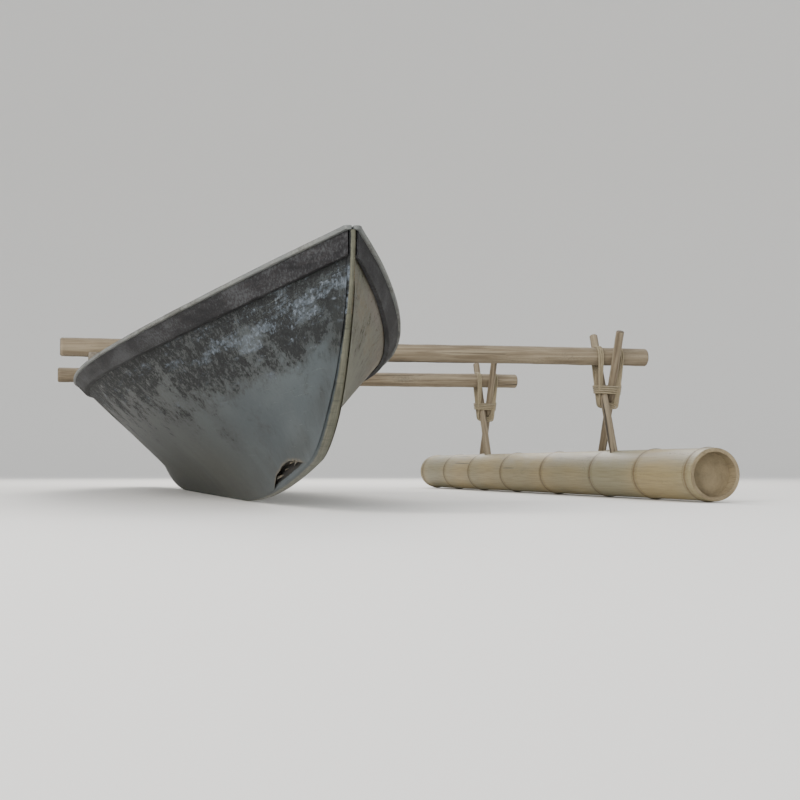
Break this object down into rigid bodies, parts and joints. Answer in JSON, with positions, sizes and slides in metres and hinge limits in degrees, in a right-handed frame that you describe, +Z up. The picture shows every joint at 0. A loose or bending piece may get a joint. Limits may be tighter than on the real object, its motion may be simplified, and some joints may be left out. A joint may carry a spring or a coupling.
{
  "type": "outrigger canoe",
  "caption": "Small double-ended canoe with a deep vee hull and keel ridge, open inside, two cross booms lashed over the gunwales and a single bamboo float to port.",
  "frame": {"origin": "on the flat underside of the keel, amidships, where the canoe stands on the ground", "axes": "+X to the bow, +Y to port, towards the float, +Z up"},
  "size_m": [4, 1.52, 0.4533],
  "materials": {
    "gelcoat_starboard": "chalky weathered gelcoat, slate blue-grey, speckled with dark mildew",
    "gelcoat_port": "chalky weathered gelcoat, sage grey-green, scuffed to tan laminate low down",
    "keel_ridge": "worn gelcoat, paler than the sides",
    "rub_rail": "dark brown rubbing strake, weathered",
    "cap_rail": "pale chalky moulding, grimy along its edges",
    "inner_wood": "bare board, sun-greyed",
    "pole_wood": "peeled pole, sun-greyed with knots",
    "bamboo": "old bamboo, straw grey with dark joints",
    "rope": "laid rope, dull and dirty"
  },
  "bodies": {
    "root": {"boom_front": "pole_wood", "boom_rear": "pole_wood", "boom_saddle_front_port": "pole_wood", "boom_saddle_front_starboard": "pole_wood", "boom_saddle_rear_port": "pole_wood", "boom_saddle_rear_starboard": "pole_wood", "end_deck_bow": "cap_rail", "end_deck_stern": "cap_rail", "float": "bamboo", "float_lashing_front": "rope", "float_lashing_rear": "rope", "float_peg_front_aft": "pole_wood", "float_peg_front_fore": "pole_wood", "float_peg_rear_aft": "pole_wood", "float_peg_rear_fore": "pole_wood", "floor_bearer_front": "inner_wood", "floor_bearer_middle": "inner_wood", "floor_bearer_rear": "inner_wood", "floor_plank": "inner_wood", "gunwale_cap_port": "cap_rail", "gunwale_cap_starboard": "cap_rail", "hull_lashing_front_port": "rope", "hull_lashing_front_starboard": "rope", "hull_lashing_rear_port": "rope", "hull_lashing_rear_starboard": "rope", "hull_port_bow": "gelcoat_port", "hull_port_middle": "gelcoat_port", "hull_port_stern": "gelcoat_port", "hull_starboard_bow": "gelcoat_starboard", "hull_starboard_middle": "gelcoat_starboard", "hull_starboard_stern": "gelcoat_starboard", "keel_strip": "keel_ridge", "keelson": "inner_wood", "rub_rail_port": "rub_rail", "rub_rail_starboard": "rub_rail", "seat_cleat_front_port": "inner_wood", "seat_cleat_front_starboard": "inner_wood", "seat_cleat_rear_port": "inner_wood", "seat_cleat_rear_starboard": "inner_wood", "seat_front": "inner_wood", "seat_rear": "inner_wood", "stem_strip_bow": "keel_ridge", "stem_strip_stern": "keel_ridge", "thwart_front": "inner_wood", "thwart_rear": "inner_wood"}
  },
  "joints": []
}
